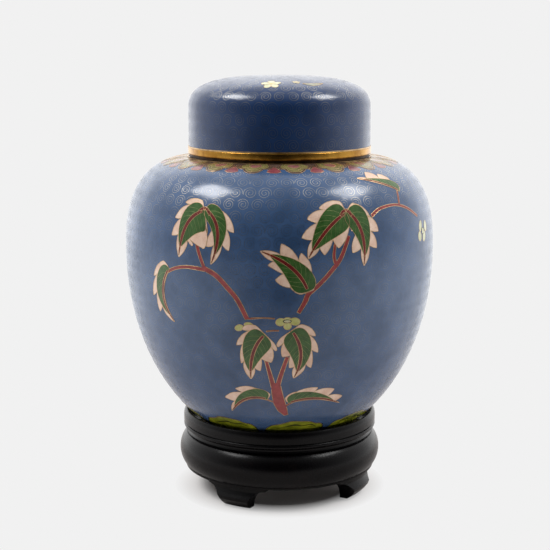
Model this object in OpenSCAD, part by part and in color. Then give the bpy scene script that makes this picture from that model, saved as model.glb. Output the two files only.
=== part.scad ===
// Lidded cloisonne ginger jar on a turned, four-footed wooden stand.
// Z is up, Z = 0 is the table, the jar's axis is the Z axis and its front faces -Y.
// All lengths are millimetres.

/* [Jar] */
// Radius of the jar at its widest place
jar_radius = 65; // [62:0.5:68]
// Height of the widest place above the table
belly_z = 105; // [103:0.5:107]
// Height of the shoulder above the widest place
shoulder_h = 38; // [36:0.5:39]
// Radius where the shoulder meets the neck
shoulder_r = 36; // [35.8:0.1:36.2]
// Roundness of the shoulder, higher is squarer
shoulder_power = 2.5; // [2.3:0.1:2.7]
// Vertical half-axis of the tapering lower body
taper_h = 86.2; // [85:0.2:88]
// Roundness of the lower body, 2 is an ellipse
taper_power = 2.06; // [2:0.02:2.1]
// Thickness of the copper sheet
copper_t = 1.0; // [0.8:0.1:1.2]
// Thickness of the enamel outside
enamel_t = 0.6; // [0.4:0.1:0.8]
// Thickness of the plain enamel inside
lining_t = 0.3; // [0.2:0.1:0.4]

/* [Neck] */
// Outer radius of the gilt collar that the lid slides over
collar_r = 35.6; // [35.4:0.1:35.7]
// Height of the collar's lip above the shoulder
collar_h = 14; // [10:1:18]

/* [Lid] */
// Outer radius of the lid wall
lid_radius = 38.1; // [38:0.1:38.4]
// Height of the straight part of the lid wall above its ring
lid_wall_h = 15; // [13:0.5:17]
// Height of the rounded top above the straight wall
lid_crown_h = 14.4; // [12:0.2:16]
// Roundness of the lid's top, higher is squarer
lid_power = 2.92; // [2.6:0.02:3.2]
// Height of the gilt rim ring
rim_ring_h = 2.8; // [2:0.2:3.4]

/* [Stand] */
// Largest radius of the stand's belly moulding
belly_ring_r = 43.1; // [42.5:0.1:44]
// Outer radius of the top rail
rail_r = 41.4; // [41:0.1:42]
// Height of the feet under the belly moulding
foot_h = 10; // [9:0.5:11]
// Direction of the first foot, measured from the front towards the right
foot_turn = 61; // [0:1:89]

/* [Decoration] */
// Number of cloud lappets round the shoulder
lappet_count = 18; // [16:1:22]
// Number of green mounds round the base
mound_count = 9; // [7:1:10]
// How far the coloured cells stand above the blue ground
cell_t = 0.1; // [0.08:0.01:0.15]

/* [Hidden] */

turn_fn = 96;           // facets of a turned surface
curve_fn = 32;          // facets of a small round
taper_steps = 22;       // steps of the lower body's outline
shoulder_steps = 20;    // steps of the shoulder's outline
lid_steps = 16;         // steps of the lid's rounded top

// Heights up the stand
waist_z = 24.6;         // top of the belly moulding, bottom of the waist
rail_z = 27.2;          // bottom of the top rail
rail_top_z = 34.5;      // crest of the top rail
board_t = 2;            // thickness of the seat board
seat_z = rail_z + board_t;
base_z = seat_z + 2;    // underside of the jar's copper base
neck_z = belly_z + shoulder_h;
ring_z = neck_z + 1.2;  // bottom of the lid's rim ring, resting on the collar's flange
collar_top_z = neck_z + collar_h;
lid_wall_z = ring_z + rim_ring_h;
crown_z = lid_wall_z + lid_wall_h;

// Outline of the jar, pushed outwards by off along its own normal.
// It runs from the base up to the neck.
function lower_end() = asin(pow((belly_z - base_z) / taper_h, taper_power / 2));

function lower_point(a, off) =
    let (r = jar_radius * pow(cos(a), 2 / taper_power))
    let (z = belly_z - taper_h * pow(sin(a), 2 / taper_power))
    let (nr = pow(cos(a), 2 - 2 / taper_power) / jar_radius)
    let (nz = -pow(sin(a), 2 - 2 / taper_power) / taper_h)
    [r, z] + off * [nr, nz] / norm([nr, nz]);

function upper_point(a, off) =
    let (span = jar_radius - shoulder_r)
    let (r = shoulder_r + span * pow(cos(a), 2 / shoulder_power))
    let (z = belly_z + shoulder_h * pow(sin(a), 2 / shoulder_power))
    let (nr = pow(cos(a), 2 - 2 / shoulder_power) / span)
    let (nz = pow(sin(a), 2 - 2 / shoulder_power) / shoulder_h)
    [r, z] + off * [nr, nz] / norm([nr, nz]);

function jar_line(off) = concat(
    [for (i = [taper_steps:-1:1]) lower_point(lower_end() * i / taper_steps, off)],
    [for (i = [0:shoulder_steps]) upper_point(90 * i / shoulder_steps, off)]);

// Outline of the lid from its wall up to the middle of its top
function crown_point(a, off) =
    let (r = lid_radius * pow(cos(a), 2 / lid_power))
    let (z = crown_z + lid_crown_h * pow(sin(a), 2 / lid_power))
    let (nr = pow(cos(a), 2 - 2 / lid_power) / lid_radius)
    let (nz = pow(sin(a), 2 - 2 / lid_power) / lid_crown_h)
    [r, z] + off * [nr, nz] / norm([nr, nz]);

function lid_line(off) = concat(
    [[lid_radius + off, lid_wall_z]],
    [for (i = [0:lid_steps]) crown_point(90 * i / lid_steps, off)]);

function reversed(list) = [for (i = [len(list) - 1:-1:0]) list[i]];

// A closed section between two offsets of an outline, kept between two heights
function band(outer, inner, low, high) =
    let (kept = [for (i = [0:len(outer) - 1]) if (outer[i][1] >= low && outer[i][1] <= high) i])
    concat([for (i = kept) outer[i]], reversed([for (i = kept) inner[i]]));

module turned(points) {
    rotate_extrude($fn = turn_fn) polygon(points);
}

// ---- Stand ----

module stand_top_rail() {
    inner_r = 38.9;
    crest_r = (rail_r - inner_r) / 2;
    bead_r = 0.9;
    crest_z = 31.6;
    color("#17130f") rotate_extrude($fn = turn_fn) union() {
        // rounded crest
        intersection() {
            translate([inner_r, crest_z]) square([2 * crest_r, rail_top_z - crest_z]);
            translate([inner_r + crest_r, crest_z])
                scale([1, (rail_top_z - crest_z) / crest_r]) circle(crest_r, $fn = curve_fn);
        }
        // upright down to the bead, with the groove above it
        translate([inner_r, rail_z]) square([rail_r - inner_r - 0.8, crest_z - rail_z]);
        translate([inner_r, rail_z + 2.4]) square([2 * crest_r, crest_z - rail_z - 2.4]);
        // bead
        translate([rail_r - bead_r, rail_z + bead_r]) circle(bead_r, $fn = curve_fn);
    }
}

module stand_waist_ring() {
    outer_r = 40.3;
    color("#14100d") rotate_extrude($fn = turn_fn) difference() {
        translate([34, waist_z]) square([outer_r - 34, rail_z - waist_z]);
        translate([outer_r, (waist_z + rail_z) / 2]) circle((rail_z - waist_z) / 2, $fn = curve_fn);
    }
}

module stand_belly_ring() {
    core_r = 36;
    half_h = 8.6;
    mid_z = (foot_h + waist_z) / 2;
    bulge = belly_ring_r - core_r;
    color("#1a1511") rotate_extrude($fn = turn_fn) union() {
        intersection() {
            translate([core_r, foot_h]) square([bulge, waist_z - foot_h]);
            translate([core_r, mid_z]) scale([bulge / half_h, 1]) circle(half_h, $fn = 48);
        }
        translate([33.5, foot_h]) square([core_r - 33.5, waist_z - foot_h]);
        // thin fillet along the bottom edge
        translate([33.5, foot_h]) square([7.2, 0.7]);
    }
}

module stand_seat_board() {
    color("#120e0b") translate([0, 0, rail_z]) cylinder(r = 38.7, h = board_t, $fn = turn_fn);
}

// One carved bracket foot, centred on the direction turn from the front
module bracket_foot(turn) {
    section = [
        [33.8, foot_h], [39.3, foot_h], [38.9, foot_h - 1.2], [39.0, foot_h - 2.4],
        [39.8, foot_h - 3.8], [40.6, foot_h - 5], [40.2, foot_h - 6.4], [39.0, foot_h - 8],
        [37.6, foot_h - 9.2], [36.4, 0], [33, 0], [33.4, foot_h / 2]
    ];
    pad_w = 12;
    top_w = 27;
    color("#17130f") rotate([0, 0, turn]) intersection() {
        rotate([0, 0, -90 - 24]) rotate_extrude(angle = 48, $fn = turn_fn) polygon(section);
        // front outline: a pad with curved brackets sweeping out under the ring
        translate([0, -30, 0]) rotate([90, 0, 0]) linear_extrude(14) difference() {
            translate([-top_w / 2, 0]) square([top_w, foot_h]);
            for (side = [-1, 1]) {
                translate([side * top_w / 2, 0])
                    scale([(top_w - pad_w) / 2 / (foot_h - 1.6), 1])
                    circle(foot_h - 1.6, $fn = 48);
            }
        }
    }
}

module foot_right() { bracket_foot(foot_turn); }
module foot_back() { bracket_foot(foot_turn + 90); }
module foot_left() { bracket_foot(foot_turn + 180); }
module foot_front() { bracket_foot(foot_turn + 270); }

// ---- Jar ----

module jar_body() {
    out = jar_line(-enamel_t);
    inside = jar_line(-enamel_t - copper_t);
    neck_r = collar_r - 0.8;
    color("#9c5f3a") turned(concat(
        [[0, base_z], [out[0][0], base_z]], out,
        [[neck_r, neck_z - enamel_t], [neck_r, collar_top_z - 1]],
        [[neck_r - copper_t, collar_top_z - 1], [neck_r - copper_t, neck_z - enamel_t - copper_t]],
        [for (p = reversed(inside)) if (p[1] > base_z + copper_t) p],
        [[32.4, base_z + copper_t], [0, base_z + copper_t]]));
}

module jar_lining() {
    out = [for (p = jar_line(-enamel_t - copper_t)) if (p[1] > base_z + copper_t) p];
    inside = [for (p = jar_line(-enamel_t - copper_t - lining_t))
        if (p[1] > base_z + copper_t + lining_t) p];
    color("#3f7f8f") turned(concat(
        [[0, base_z + copper_t], [32.4, base_z + copper_t]], out, reversed(inside),
        [[32.1, base_z + copper_t + lining_t], [0, base_z + copper_t + lining_t]]));
}

module jar_foot_ring() {
    color("#b8893a") difference() {
        translate([0, 0, seat_z]) cylinder(r = 33.4, h = base_z - seat_z, $fn = turn_fn);
        translate([0, 0, seat_z - 1]) cylinder(r = 30.6, h = base_z - seat_z + 2, $fn = turn_fn);
    }
}

module jar_base_enamel() {
    color("#3f7f8f") translate([0, 0, base_z - 0.5]) cylinder(r = 30.6, h = 0.5, $fn = turn_fn);
}

module jar_neck_collar() {
    tube_r = collar_r - 0.8;
    lip_r = 33.8;
    color("#b8893a") turned([
        [tube_r, neck_z - enamel_t], [shoulder_r, neck_z - enamel_t], [shoulder_r, neck_z],
        [37.6, neck_z + 0.1], [37.6, ring_z], [collar_r, ring_z],
        [collar_r, collar_top_z - 0.5], [collar_r - 0.4, collar_top_z],
        [lip_r + 0.3, collar_top_z], [lip_r, collar_top_z - 0.5], [lip_r, collar_top_z - 1],
        [tube_r, collar_top_z - 1]
    ]);
}

// The enamel skin of the jar between two heights
module jar_skin(low, high) {
    turned(band(jar_line(0), jar_line(-enamel_t), low, high));
}

// The outline step where the shoulder band begins, so that both skins share one edge
band_step = 14;
band_z = upper_point(90 * band_step / shoulder_steps, 0)[1];

module jar_ground_enamel() {
    color("#46608a") jar_skin(0, band_z + 0.001);
}

module shoulder_band_enamel() {
    color("#6d5a52") jar_skin(band_z - 0.001, neck_z + 1);
}

// A thin layer on top of the jar's skin, in a sector of the given half-angle round a direction
module jar_layer(turn, half_angle, low, high) {
    rotate([0, 0, turn - 90 - half_angle])
        rotate_extrude(angle = 2 * half_angle, $fn = turn_fn)
        polygon(band(jar_line(cell_t), jar_line(0), low, high));
}

// A flat shape pushed outwards from the axis: x runs sideways at the direction turn, y is the height
module outwards(turn) {
    rotate([0, 0, turn]) translate([0, -20, 0]) rotate([90, 0, 0]) linear_extrude(50) children();
}

// A flat shape laid on the jar
module on_jar(turn, half_angle, low, high) {
    intersection() {
        jar_layer(turn, half_angle, low, high);
        outwards(turn) children();
    }
}

// Decoration is placed by direction and height: [degrees from the front, millimetres up]
function jar_r(z) = z > belly_z
    ? shoulder_r + (jar_radius - shoulder_r)
        * pow(1 - pow((z - belly_z) / shoulder_h, shoulder_power), 1 / shoulder_power)
    : jar_radius * pow(1 - pow((belly_z - z) / taper_h, taper_power), 1 / taper_power);

function flat(p, turn) = [jar_r(p[1]) * sin(p[0] - turn), p[1]];

function bend(a, b, c, t) = (1 - t) * (1 - t) * a + 2 * t * (1 - t) * b + t * t * c;
function bend_side(a, b, c, t) =
    let (d = (1 - t) * (b - a) + t * (c - b))
    [-d[1], d[0]] / norm(d);

// The decoration comes in clusters that are laid on the jar together. Each cluster holds
// the direction it is laid from, its leaves, its stems and its blossoms.
// Leaf: start, bend and tip of its midrib, then its half-width and its number of lobes.
// Stem: start, bend and end, then its width at the start and at the end.
// Blossom: place and petal size.
clusters = [
    [0,
        [
            [[-6.4, 80], [-11, 72], [-11.6, 60.5], 8, 3],
            [[4.9, 81], [9, 72], [6.5, 61], 8, 3],
            [[-3.5, 50.5], [-14, 56], [-24, 44], 4.5, 3],
            [[3.5, 48.5], [18, 56.5], [30, 47], 4.5, 3]
        ],
        [
            [[3.4, 43.5], [0, 50], [-1.2, 58.5], 4, 3],
            [[-1.6, 56], [-4, 62], [-5, 68.5], 2.4, 1.2],
            [[-0.8, 56], [1.5, 62], [2.8, 69.5], 2.4, 1.2]
        ],
        [[[2.6, 86], 2], [[-13.6, 83.5], 1.5]]
    ],
    [-30,
        [
            [[-30, 126.5], [-37, 120], [-36.8, 108], 6, 3],
            [[-25.6, 126.5], [-18.5, 118], [-23, 106.5], 6, 3],
            [[-43, 102], [-49, 92], [-41, 82], 4.5, 3]
        ],
        [
            [[-12, 87.5], [-16, 98], [-26, 105], 1.6, 1.6],
            [[-26, 105], [-34, 105.5], [-42.5, 102], 1.5, 1.2],
            [[-26.2, 105.6], [-27.5, 112], [-28.6, 118], 1.6, 1.4]
        ],
        []
    ],
    [20,
        [
            [[21.5, 126.5], [12.5, 123], [9.5, 109.5], 7, 4],
            [[26.5, 126], [33.5, 118], [30.4, 105.7], 6.5, 4],
            [[9, 100.5], [1, 107], [-8, 110], 6, 3]
        ],
        [
            [[7.2, 89.5], [8.6, 93], [9.6, 98], 1.6, 1.6],
            [[9.6, 98], [17, 99], [20.6, 107], 1.8, 1.8],
            [[20.6, 107], [19.6, 111], [19.2, 115.5], 1.6, 1.2],
            [[20.8, 107.5], [23.2, 111], [24, 116.5], 1.6, 1.2]
        ],
        []
    ],
    [50, [], [[[37.5, 125.5], [45, 129], [57, 122.5], 1.4, 1.1]], [[[61.5, 116.5], 2.2]]]
];

// The decoration is the same on the front and on the back
faces = [0, 180];
cluster_half_angle = 28;
cluster_margin = 16;    // how far past its points a cluster reaches up and down

function ribbon(a, b, c, w0, w1, steps) =
    [for (side = [1, -1]) for (i = [0:steps])
        let (t = (side > 0 ? i : steps - i) / steps)
        bend(a, b, c, t) + side * (w0 + (w1 - w0) * t) / 2 * bend_side(a, b, c, t)];

// The smooth green middle of a leaf, blunt where the stem joins it
function leaf_middle(a, b, c, w, steps) =
    [for (side = [1, -1]) for (i = [0:steps])
        let (u = (side > 0 ? i : steps - i) / steps)
        let (t = 0.95 * u - 0.08)
        bend(a, b, c, t) + side * 0.58 * w * sin(12 + 165 * pow(u, 0.85)) * bend_side(a, b, c, t)];

// The pointed lobes round a leaf: each lobe rises from a notch to a tooth that leans to the tip
function lobe_width(t) = 0.35 + 0.65 * sin(180 * (0.12 + 0.72 * t));
function lobe_point(leaf_points, w, lobes, k, part, side) =
    let (t = (k + (part == 0 ? 0.15 : 1)) / (lobes + 0.4))
    let (reach = side * w * lobe_width(t) * (part == 0 ? 0.7 : 1))
    bend(leaf_points[0], leaf_points[1], leaf_points[2], t)
        + reach * bend_side(leaf_points[0], leaf_points[1], leaf_points[2], t);
function leaf_edge(points, w, lobes) = concat(
    [points[0]],
    [for (k = [0:lobes - 1]) for (part = [0, 1]) lobe_point(points, w, lobes, k, part, 1)],
    [points[2]],
    [for (k = [lobes - 1:-1:0]) for (part = [1, 0]) lobe_point(points, w, lobes, k, part, -1)]);

module leaf_middles(cluster) {
    for (leaf = cluster[1])
        polygon(leaf_middle(flat(leaf[0], cluster[0]), flat(leaf[1], cluster[0]),
            flat(leaf[2], cluster[0]), leaf[3], 10));
}

module leaf_edges(cluster) {
    for (leaf = cluster[1])
        polygon(leaf_edge([for (i = [0:2]) flat(leaf[i], cluster[0])], leaf[3], leaf[4]));
}

module stem_ribbons(cluster) {
    for (stem = cluster[2])
        polygon(ribbon(flat(stem[0], cluster[0]), flat(stem[1], cluster[0]),
            flat(stem[2], cluster[0]), stem[3], stem[4], 6));
}

module blossom_petals(cluster) {
    petals = 5;
    for (blossom = cluster[3]) translate(flat(blossom[0], cluster[0])) {
        circle(blossom[1] * 0.8, $fn = curve_fn);
        for (i = [0:petals - 1])
            rotate(360 / petals * (i + 0.25)) translate([blossom[1], 0])
                circle(blossom[1] * 0.7, $fn = curve_fn);
    }
}

function cluster_heights(cluster) =
    [for (group = [cluster[1], cluster[2]]) for (item = group) for (i = [0:2]) item[i][1]];

module lay_cluster(face, cluster) {
    heights = cluster_heights(cluster);
    on_jar(face + cluster[0], cluster_half_angle,
        min(heights) - cluster_margin, max(heights) + cluster_margin) children();
}

module leaf_green_enamel() {
    color("#2f6b3a") for (face = faces) for (cluster = clusters) if (len(cluster[1]) > 0)
        lay_cluster(face, cluster) leaf_middles(cluster);
}

module leaf_pink_enamel() {
    color("#e0a99a") for (face = faces) for (cluster = clusters) if (len(cluster[1]) > 0)
        lay_cluster(face, cluster) difference() {
            leaf_edges(cluster);
            leaf_middles(cluster);
        }
}

// Stems stop where a leaf begins
module branch_enamel() {
    color("#7a1f22") for (face = faces) for (cluster = clusters)
        lay_cluster(face, cluster) difference() {
            stem_ribbons(cluster);
            leaf_edges(cluster);
            leaf_middles(cluster);
        }
}

// Blossoms stop where a leaf or a stem begins
module blossom_enamel() {
    color("#d9dca0") for (face = faces) for (cluster = clusters) if (len(cluster[3]) > 0)
        lay_cluster(face, cluster) difference() {
            blossom_petals(cluster);
            leaf_edges(cluster);
            leaf_middles(cluster);
            stem_ribbons(cluster);
        }
}

// Low hills that stand round the base, each with three humps
function mound_outline(width, low, height, steps) = concat(
    [[-width / 2, low - 3]],
    [for (i = [0:steps])
        let (u = i / steps)
        let (hump = 0.75 + 0.25 * abs(sin(540 * u)))
        [(u - 0.5) * width, low + 0.6 + height * pow(sin(180 * u), 0.6) * hump]],
    [[width / 2, low - 3]]);

module base_mound_enamel() {
    mound_h = 8;
    mound_w = 22;
    pitch = 360 / mound_count;
    color("#a9b23a") for (i = [0:mound_count - 1])
        on_jar(9 + pitch * i, pitch / 2, base_z - 1, base_z + mound_h + 8)
            polygon(mound_outline(mound_w, base_z, mound_h, 24));
}

// Plan of one cloud lappet, pointing away from the axis along +X
module lappet_plan() {
    lobe_r = 4.2;
    translate([45.6, 0]) circle(lobe_r, $fn = curve_fn);
    for (side = [-1, 1]) translate([42.5, side * 3]) circle(3.4, $fn = curve_fn);
}

module shoulder_plan_cut() {
    intersection() {
        turned(band(jar_line(cell_t), jar_line(0), band_z - 1.5, neck_z + 1));
        translate([0, 0, belly_z]) linear_extrude(shoulder_h + 5) children();
    }
}

module cloud_lappet_enamel() {
    color("#b3ad55") shoulder_plan_cut()
        for (i = [0:lappet_count - 1]) rotate(360 / lappet_count * i + 7.5 - 90) lappet_plan();
}

module lappet_spacer_enamel() {
    pitch = 360 / lappet_count;
    color("#a5413f") shoulder_plan_cut() difference() {
        for (i = [0:lappet_count - 1])
            rotate(pitch * (i + 0.5) + 7.5 - 90) translate([46.6, 0]) circle(2.6, $fn = 3);
        for (i = [0:lappet_count - 1]) rotate(pitch * i + 7.5 - 90) lappet_plan();
    }
}

// Gilt wire round the foot of the neck
module neck_border_wire() {
    outer_r = 38.6;
    wire_w = 0.5;
    color("#b8893a") shoulder_plan_cut() difference() {
        circle(outer_r, $fn = turn_fn);
        circle(outer_r - wire_w, $fn = turn_fn);
    }
}

// ---- Lid ----

module lid_body() {
    out = lid_line(-enamel_t);
    inside = lid_line(-enamel_t - copper_t);
    color("#9c5f3a") turned(concat(out, reversed(inside)));
}

module lid_lining() {
    color("#3f7f8f") turned(concat(
        lid_line(-enamel_t - copper_t), reversed(lid_line(-enamel_t - copper_t - lining_t))));
}

module lid_ground_enamel() {
    color("#46608a") turned(concat(lid_line(0), reversed(lid_line(-enamel_t))));
}

module lid_rim_ring() {
    outer_r = lid_radius + 0.3;
    inner_r = lid_radius - enamel_t - copper_t - lining_t;
    color("#c2933f") turned([
        [inner_r, ring_z], [outer_r - 0.3, ring_z], [outer_r, ring_z + 0.3],
        [outer_r, lid_wall_z - 0.3], [outer_r - 0.3, lid_wall_z], [inner_r, lid_wall_z]
    ]);
}

// Flat shapes seen from above, laid on the front and the back of the lid's crown
module on_lid_crown() {
    low = crown_z + 8;
    intersection() {
        turned(concat([for (p = lid_line(cell_t)) if (p[1] > low) p],
            reversed([for (p = lid_line(0)) if (p[1] > low) p])));
        translate([0, 0, crown_z]) linear_extrude(lid_crown_h + 5)
            for (turn = [0, 180]) rotate(turn) children();
    }
}

lid_blossoms = [[-3.3, -28.6, 3.8], [6.6, -26.2, 1.5]];
lid_leaf = [[9.6, -27.4], [13.2, -26.8], [17.4, -23.4], 2.6];

module lid_blossom_enamel() {
    petals = 5;
    color("#e3dfb4") on_lid_crown() for (b = lid_blossoms) translate([b[0], b[1]]) union() {
        circle(b[2] * 0.4, $fn = curve_fn);
        for (i = [0:petals - 1]) rotate(360 / petals * i) translate([b[2] * 0.6, 0])
            circle(b[2] * 0.4, $fn = curve_fn);
    }
}

module lid_leaf_enamel() {
    color("#7f9a86") on_lid_crown()
        polygon(leaf_middle(lid_leaf[0], lid_leaf[1], lid_leaf[2], lid_leaf[3], 10));
}

module lid_border_wire() {
    wire_w = 0.5;
    color("#b8893a") turned([
        [lid_radius, lid_wall_z], [lid_radius + 0.15, lid_wall_z],
        [lid_radius + 0.15, lid_wall_z + wire_w], [lid_radius, lid_wall_z + wire_w]
    ]);
}

stand_top_rail();
stand_waist_ring();
stand_belly_ring();
stand_seat_board();
foot_right();
foot_back();
foot_left();
foot_front();
jar_body();
jar_lining();
jar_foot_ring();
jar_base_enamel();
jar_neck_collar();
jar_ground_enamel();
shoulder_band_enamel();
cloud_lappet_enamel();
lappet_spacer_enamel();
base_mound_enamel();
branch_enamel();
leaf_green_enamel();
leaf_pink_enamel();
blossom_enamel();
neck_border_wire();
lid_body();
lid_lining();
lid_ground_enamel();
lid_rim_ring();
lid_blossom_enamel();
lid_leaf_enamel();
lid_border_wire();
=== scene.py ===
"""A lidded cloisonne ginger jar on a turned wooden stand.

Lengths in this script are millimetres; Blender's are metres. The jar's axis is Z, its front faces -Y,
and a place on it is given by direction and height: degrees from the front, millimetres above the table.
"""
import math

import bpy
import numpy as np
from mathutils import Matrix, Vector, kdtree
from mathutils.geometry import delaunay_2d_cdt


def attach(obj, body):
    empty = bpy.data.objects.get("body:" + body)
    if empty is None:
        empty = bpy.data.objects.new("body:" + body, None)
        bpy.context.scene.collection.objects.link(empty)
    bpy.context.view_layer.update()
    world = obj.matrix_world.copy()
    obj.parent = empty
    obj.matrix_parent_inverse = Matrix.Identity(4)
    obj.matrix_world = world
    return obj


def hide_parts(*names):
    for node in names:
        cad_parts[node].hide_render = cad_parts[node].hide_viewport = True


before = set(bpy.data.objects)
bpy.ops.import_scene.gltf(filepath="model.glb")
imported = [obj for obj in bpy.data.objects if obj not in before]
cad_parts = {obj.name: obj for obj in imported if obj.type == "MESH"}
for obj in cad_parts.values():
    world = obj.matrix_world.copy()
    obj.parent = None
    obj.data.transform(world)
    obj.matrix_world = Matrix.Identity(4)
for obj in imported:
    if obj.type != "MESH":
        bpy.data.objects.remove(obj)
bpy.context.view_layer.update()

MM = 0.001

# The same driving sizes as the CAD model
BELLY_Z = 105
JAR_RADIUS = 65
SHOULDER_H = 38
SHOULDER_R = 36
SHOULDER_POWER = 2.5
TAPER_H = 86.2
TAPER_POWER = 2.06
BASE_Z = 31.2
RING_Z = 144.2
LID_RADIUS = 38.1
LID_WALL_Z = 147
CROWN_Z = 162
CROWN_H = 14.4
LID_POWER = 2.92

# How far the skins stand inside the CAD skins, so that the wires on them end inside the CAD box
JAR_SKIN = -0.2
LID_SKIN = -0.08

# Heights of the layers above the skin
BAND_LIFT = 0.03
STEM_LIFT = 0.035
PINK_LIFT = 0.045
GREEN_LIFT = 0.06
RIB_LIFT = 0.075
DETAIL_LIFT = 0.085
WIRE_FOOT = 0.07
WIRE_CREST = 0.1
SCROLL_FOOT = 0.012
SCROLL_CREST = 0.02

CELL_WIRE = 0.2
FINE_WIRE = 0.16
VEIN_WIRE = 0.12
SCROLL_WIRE = 0.15
CREST_ROUNDING = 20     # how strongly a wire's shading is rounded over

FILL_PITCH = 1.3        # spacing of the points inside a filled shape
OUTLINE_ROWS = 900      # steps along a turned outline
INNER_ROWS = 24         # rings on the unseen inside of a turned skin
SHARP_CORNER = 35       # degrees between faces above which a turned edge is sharp

FACES = (0, 180)        # degrees: the front and the back carry the same decoration


# ---- Camera, lights and floor ----

CAMERA_PLACE = (0, -0.550, 0.1903)
CAMERA_PITCH = 10.14        # degrees that it looks down
LENS = 85.6
SENSOR = 36
SHIFT_X = -0.0081


def make_camera():
    data = bpy.data.cameras.new("camera")
    data.sensor_width = SENSOR
    data.lens = LENS
    data.shift_x = SHIFT_X
    data.clip_start = 0.05
    data.clip_end = 60
    camera = bpy.data.objects.new("camera", data)
    camera.location = CAMERA_PLACE
    camera.rotation_euler = (math.radians(90 - CAMERA_PITCH), 0, 0)
    bpy.context.scene.collection.objects.link(camera)
    bpy.context.scene.camera = camera


# Each soft box: the direction that it shines from, and its power in watts
SOFT_BOXES = {
    "soft_box_left": ((-0.59, -0.117, 0.80), 5.6),
    "soft_box_right": ((0.62, -0.10, 0.78), 4.6),
}
SOFT_BOX_SIZE = (0.4, 0.3)
SOFT_BOX_DISTANCE = 1
AIM = (0, 0, 0.12)          # the part of the jar that the soft boxes face


def make_soft_box(name, direction, watts):
    data = bpy.data.lights.new(name, "AREA")
    data.shape = "RECTANGLE"
    data.size, data.size_y = SOFT_BOX_SIZE
    data.energy = watts
    lamp = bpy.data.objects.new(name, data)
    towards = Vector(direction).normalized()
    lamp.location = Vector(AIM) + towards * SOFT_BOX_DISTANCE
    lamp.rotation_mode = "QUATERNION"
    lamp.rotation_quaternion = towards.to_track_quat("Z", "Y")
    bpy.context.scene.collection.objects.link(lamp)


# Brightness of what the glazes mirror, by direction: from 0 straight at the camera's side, where it is
# dark, to 1 straight behind the object. TABLE holds for the table near the object, ROOM for the rest.
ROOM = [(0, 0.01), (0.1, 0.08), (0.235, 0.4), (0.5, 0.95), (0.76, 1.35), (0.87, 2.1), (1, 1.6)]
TABLE = [(0, 0.06), (0.015, 0.16), (0.05, 0.6), (0.15, 1.05), (0.35, 1.4), (0.5, 1.5), (1, 1.5)]
BACKDROP = (0.88, 0.88, 0.88, 1)    # the white behind the object, as the camera sees it
FLOOR_TONE = (0.64, 0.6, 0.58, 1)
# Distances from the object's middle, in metres, over which the floor changes
SHADOW_EDGE = (0.03, 0.046)     # from shaded table to the plain white that the camera sees
GLOW_EDGE = (0.09, 0.3)         # from shaded table to the glow that the glazes mirror
TABLE_EDGE = (0.5, 1.2)         # from the table's brightness to the room's


def glow_by_direction(tree, direction, brightness_by_turn):
    """A brightness that depends on how far a direction is from the camera's side."""
    unit = tree.nodes.new("ShaderNodeVectorMath")
    split = tree.nodes.new("ShaderNodeSeparateXYZ")
    turn = tree.nodes.new("ShaderNodeMapRange")
    ramp = tree.nodes.new("ShaderNodeValToRGB")
    unit.operation = "NORMALIZE"
    turn.inputs["From Min"].default_value = -1
    tree.links.new(direction, unit.inputs[0])
    tree.links.new(unit.outputs[0], split.inputs[0])
    tree.links.new(split.outputs["Y"], turn.inputs["Value"])
    tree.links.new(turn.outputs["Result"], ramp.inputs[0])
    stops = ramp.color_ramp.elements
    first, *middle, last = [(place, (light, light, light, 1)) for place, light in brightness_by_turn]
    stops[0].color = first[1]
    stops[1].color = last[1]
    for place, colour in middle:
        stops.new(place).color = colour
    return ramp.outputs[0]


def make_world():
    """White behind and beside the object, dark on the camera's side, and plain white as a backdrop."""
    world = bpy.data.worlds.new("studio")
    bpy.context.scene.world = world
    world.use_nodes = True
    tree = world.node_tree
    tree.nodes.clear()
    coordinates = tree.nodes.new("ShaderNodeTexCoord")
    around = tree.nodes.new("ShaderNodeBackground")
    backdrop = tree.nodes.new("ShaderNodeBackground")
    path = tree.nodes.new("ShaderNodeLightPath")
    mix = tree.nodes.new("ShaderNodeMixShader")
    out = tree.nodes.new("ShaderNodeOutputWorld")
    room = glow_by_direction(tree, coordinates.outputs["Generated"], ROOM)
    tree.links.new(room, around.inputs["Color"])
    backdrop.inputs["Color"].default_value = BACKDROP
    tree.links.new(path.outputs["Is Camera Ray"], mix.inputs[0])
    tree.links.new(around.outputs[0], mix.inputs[1])
    tree.links.new(backdrop.outputs[0], mix.inputs[2])
    tree.links.new(mix.outputs[0], out.inputs[0])


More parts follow.
